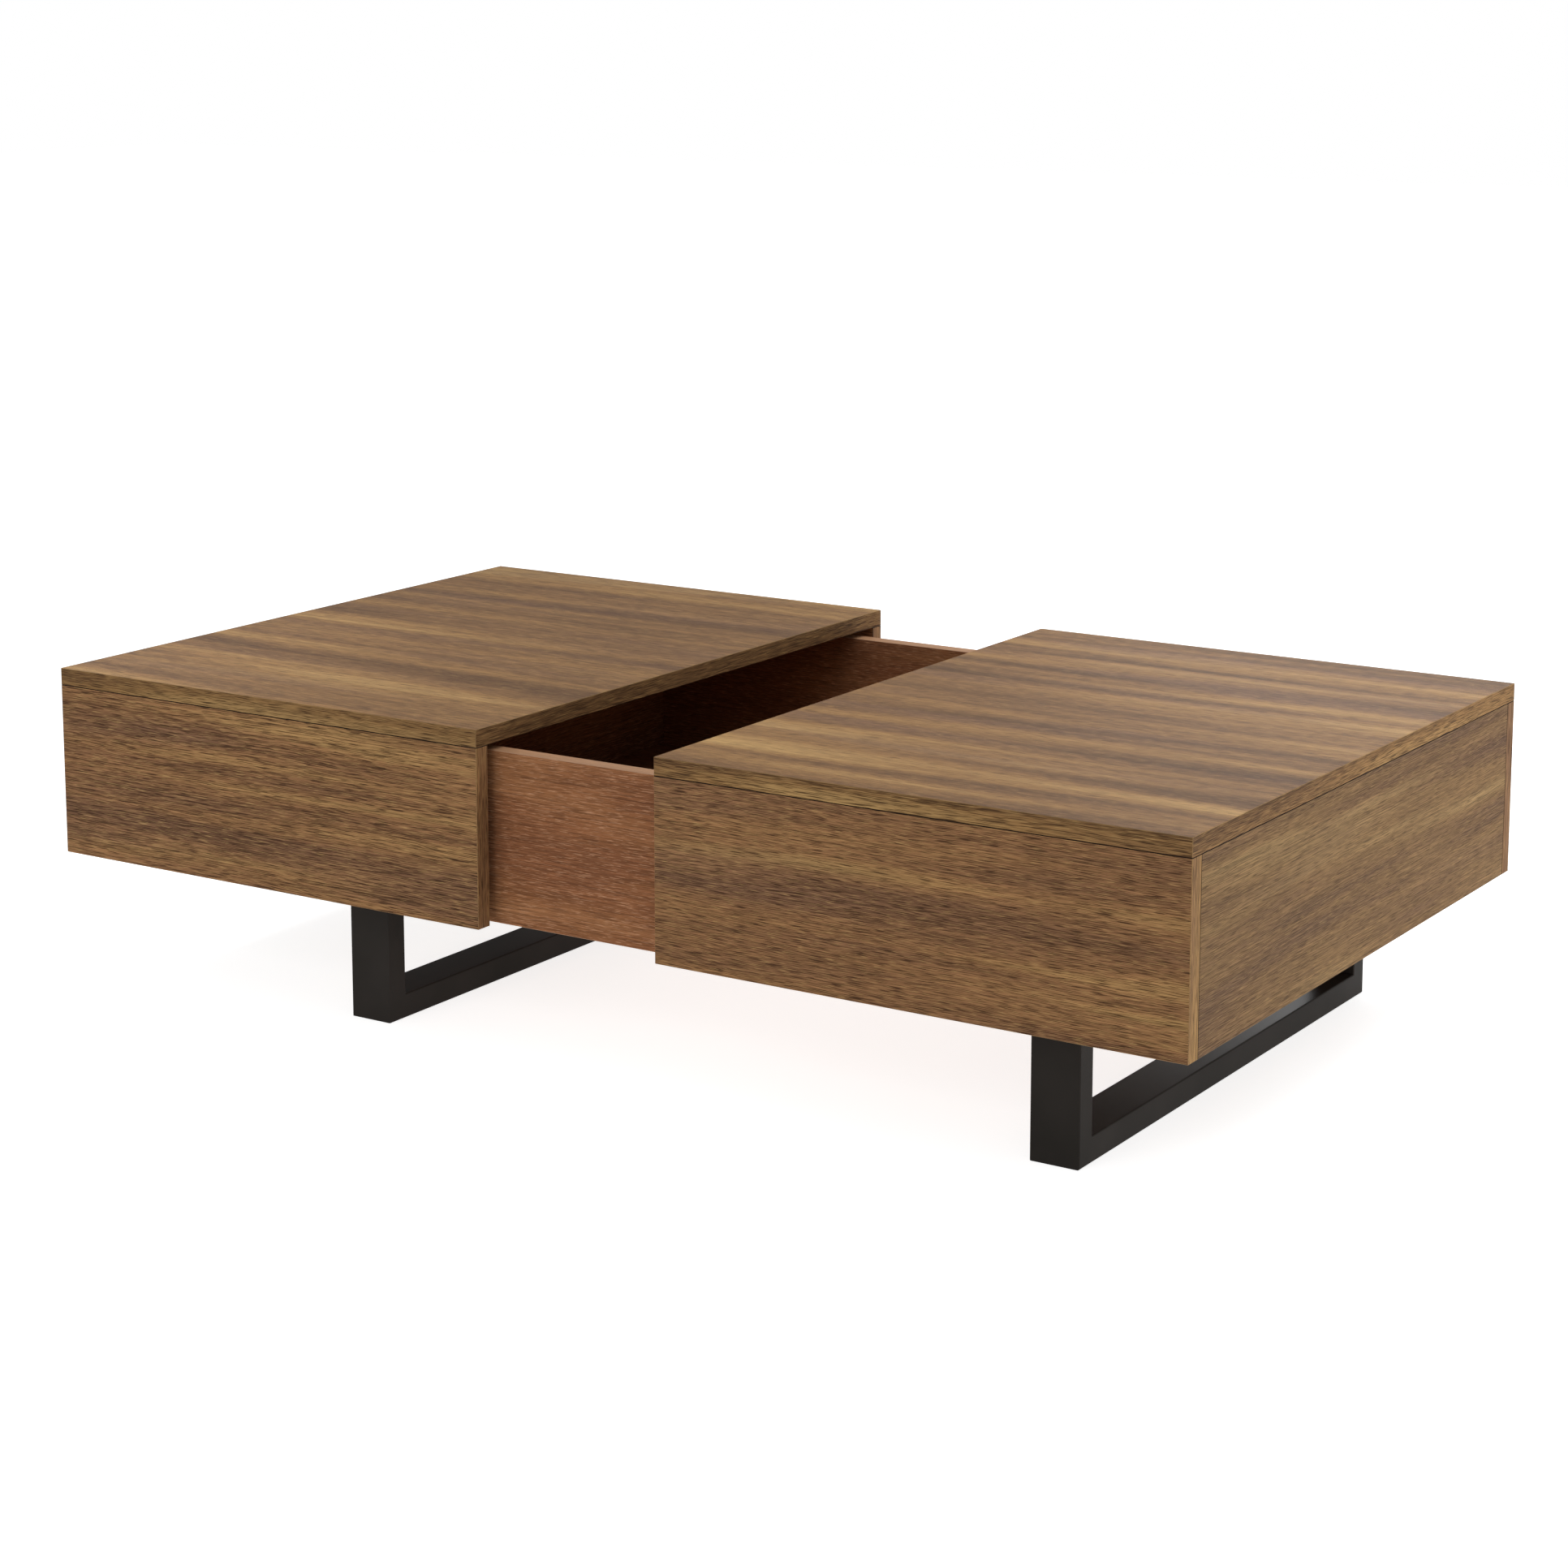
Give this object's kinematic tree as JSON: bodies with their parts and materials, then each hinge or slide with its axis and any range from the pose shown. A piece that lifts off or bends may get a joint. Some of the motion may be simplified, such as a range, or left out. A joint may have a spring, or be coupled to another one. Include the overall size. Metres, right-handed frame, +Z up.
{
  "type": "sliding top coffee table",
  "caption": "Low coffee table whose top is two box-shaped shells that slide apart on ball slides over a fixed storage box on sled legs.",
  "frame": {"origin": "on the floor, under the middle of the table as it stands with its left top drawn out 207 mm; the storage box's own middle is 103.5 mm to +X of it", "axes": "+X along the table's length, the way the tops slide, from the left top to the right top; +Y to the rear; +Z up"},
  "size_m": [1.307, 0.75, 0.335],
  "materials": {
    "walnut_board": "satin walnut-look laminate",
    "box_board": "satin reddish oak-look laminate",
    "powder_coated_steel": "dark brown-black powder coat, semi-matt",
    "beech": "plain",
    "zinc_casting": "zinc die casting",
    "ball_steel": "polished",
    "retainer_steel": "bright pressed strip",
    "zinc_plated_steel": "bright zinc plate",
    "screw_steel": "zinc plate"
  },
  "bodies": {
    "base": {"box_bottom": "box_board", "box_front_wall": "box_board", "box_left_end": "box_board", "box_rear_wall": "box_board", "box_right_end": "box_board", "box_screws": "screw_steel", "left_front_slide_outer": "zinc_plated_steel", "left_leg_floor_bar": "powder_coated_steel", "left_leg_front_post": "powder_coated_steel", "left_leg_plate": "powder_coated_steel", "left_leg_rear_post": "powder_coated_steel", "left_rear_slide_outer": "zinc_plated_steel", "leg_screws": "screw_steel", "right_front_slide_outer": "zinc_plated_steel", "right_leg_floor_bar": "powder_coated_steel", "right_leg_front_post": "powder_coated_steel", "right_leg_plate": "powder_coated_steel", "right_leg_rear_post": "powder_coated_steel", "right_rear_slide_outer": "zinc_plated_steel", "slide_outer_screws": "screw_steel"},
    "left_top": {"left_cam_bolts": "screw_steel", "left_cam_locks": "zinc_casting", "left_dowels": "beech", "left_end_panel": "walnut_board", "left_front_skirt": "walnut_board", "left_front_slide_inner": "zinc_plated_steel", "left_rear_skirt": "walnut_board", "left_rear_slide_inner": "zinc_plated_steel", "left_slide_inner_screws": "screw_steel", "left_top_board": "walnut_board"},
    "left_front_slide_middle": {"left_front_slide_middle": "zinc_plated_steel"},
    "left_front_outer_cage": {"left_front_slide_outer_cage": "retainer_steel", "left_front_slide_outer_balls": "ball_steel"},
    "left_front_inner_cage": {"left_front_slide_inner_cage": "retainer_steel", "left_front_slide_inner_balls": "ball_steel"},
    "left_rear_slide_middle": {"left_rear_slide_middle": "zinc_plated_steel"},
    "left_rear_outer_cage": {"left_rear_slide_outer_cage": "retainer_steel", "left_rear_slide_outer_balls": "ball_steel"},
    "left_rear_inner_cage": {"left_rear_slide_inner_cage": "retainer_steel", "left_rear_slide_inner_balls": "ball_steel"},
    "right_top": {"right_cam_bolts": "screw_steel", "right_cam_locks": "zinc_casting", "right_dowels": "beech", "right_end_panel": "walnut_board", "right_front_skirt": "walnut_board", "right_front_slide_inner": "zinc_plated_steel", "right_rear_skirt": "walnut_board", "right_rear_slide_inner": "zinc_plated_steel", "right_slide_inner_screws": "screw_steel", "right_top_board": "walnut_board"},
    "right_front_slide_middle": {"right_front_slide_middle": "zinc_plated_steel"},
    "right_front_outer_cage": {"right_front_slide_outer_cage": "retainer_steel", "right_front_slide_outer_balls": "ball_steel"},
    "right_front_inner_cage": {"right_front_slide_inner_cage": "retainer_steel", "right_front_slide_inner_balls": "ball_steel"},
    "right_rear_slide_middle": {"right_rear_slide_middle": "zinc_plated_steel"},
    "right_rear_outer_cage": {"right_rear_slide_outer_cage": "retainer_steel", "right_rear_slide_outer_balls": "ball_steel"},
    "right_rear_inner_cage": {"right_rear_slide_inner_cage": "retainer_steel", "right_rear_slide_inner_balls": "ball_steel"}
  },
  "joints": [
    {"name": "left_top_slide", "type": "slide", "parent": "base", "child": "left_top", "axis": [-1, 0, 0], "range_m": [-0.207, 0.043]},
    {"name": "left_front_slide_middle_travel", "type": "slide", "parent": "base", "child": "left_front_slide_middle", "axis": [-1, 0, 0], "range_m": [-0.1035, 0.0215]},
    {"name": "left_front_outer_cage_travel", "type": "slide", "parent": "base", "child": "left_front_outer_cage", "axis": [-1, 0, 0], "range_m": [-0.05175, 0.01075]},
    {"name": "left_front_inner_cage_travel", "type": "slide", "parent": "base", "child": "left_front_inner_cage", "axis": [-1, 0, 0], "range_m": [-0.15525, 0.03225]},
    {"name": "left_rear_slide_middle_travel", "type": "slide", "parent": "base", "child": "left_rear_slide_middle", "axis": [-1, 0, 0], "range_m": [-0.1035, 0.0215]},
    {"name": "left_rear_outer_cage_travel", "type": "slide", "parent": "base", "child": "left_rear_outer_cage", "axis": [-1, 0, 0], "range_m": [-0.05175, 0.01075]},
    {"name": "left_rear_inner_cage_travel", "type": "slide", "parent": "base", "child": "left_rear_inner_cage", "axis": [-1, 0, 0], "range_m": [-0.15525, 0.03225]},
    {"name": "right_top_slide", "type": "slide", "parent": "base", "child": "right_top", "axis": [1, 0, 0], "range_m": [0, 0.25]},
    {"name": "right_front_slide_middle_travel", "type": "slide", "parent": "base", "child": "right_front_slide_middle", "axis": [1, 0, 0], "range_m": [0, 0.125]},
    {"name": "right_front_outer_cage_travel", "type": "slide", "parent": "base", "child": "right_front_outer_cage", "axis": [1, 0, 0], "range_m": [0, 0.0625]},
    {"name": "right_front_inner_cage_travel", "type": "slide", "parent": "base", "child": "right_front_inner_cage", "axis": [1, 0, 0], "range_m": [0, 0.1875]},
    {"name": "right_rear_slide_middle_travel", "type": "slide", "parent": "base", "child": "right_rear_slide_middle", "axis": [1, 0, 0], "range_m": [0, 0.125]},
    {"name": "right_rear_outer_cage_travel", "type": "slide", "parent": "base", "child": "right_rear_outer_cage", "axis": [1, 0, 0], "range_m": [0, 0.0625]},
    {"name": "right_rear_inner_cage_travel", "type": "slide", "parent": "base", "child": "right_rear_inner_cage", "axis": [1, 0, 0], "range_m": [0, 0.1875]}
  ],
  "couplings": [
    {"joint": "left_front_slide_middle_travel", "follows": "left_top_slide", "ratio": 0.5},
    {"joint": "left_front_outer_cage_travel", "follows": "left_top_slide", "ratio": 0.25},
    {"joint": "left_front_inner_cage_travel", "follows": "left_top_slide", "ratio": 0.75},
    {"joint": "left_rear_slide_middle_travel", "follows": "left_top_slide", "ratio": 0.5},
    {"joint": "left_rear_outer_cage_travel", "follows": "left_top_slide", "ratio": 0.25},
    {"joint": "left_rear_inner_cage_travel", "follows": "left_top_slide", "ratio": 0.75},
    {"joint": "right_front_slide_middle_travel", "follows": "right_top_slide", "ratio": 0.5},
    {"joint": "right_front_outer_cage_travel", "follows": "right_top_slide", "ratio": 0.25},
    {"joint": "right_front_inner_cage_travel", "follows": "right_top_slide", "ratio": 0.75},
    {"joint": "right_rear_slide_middle_travel", "follows": "right_top_slide", "ratio": 0.5},
    {"joint": "right_rear_outer_cage_travel", "follows": "right_top_slide", "ratio": 0.25},
    {"joint": "right_rear_inner_cage_travel", "follows": "right_top_slide", "ratio": 0.75}
  ]
}
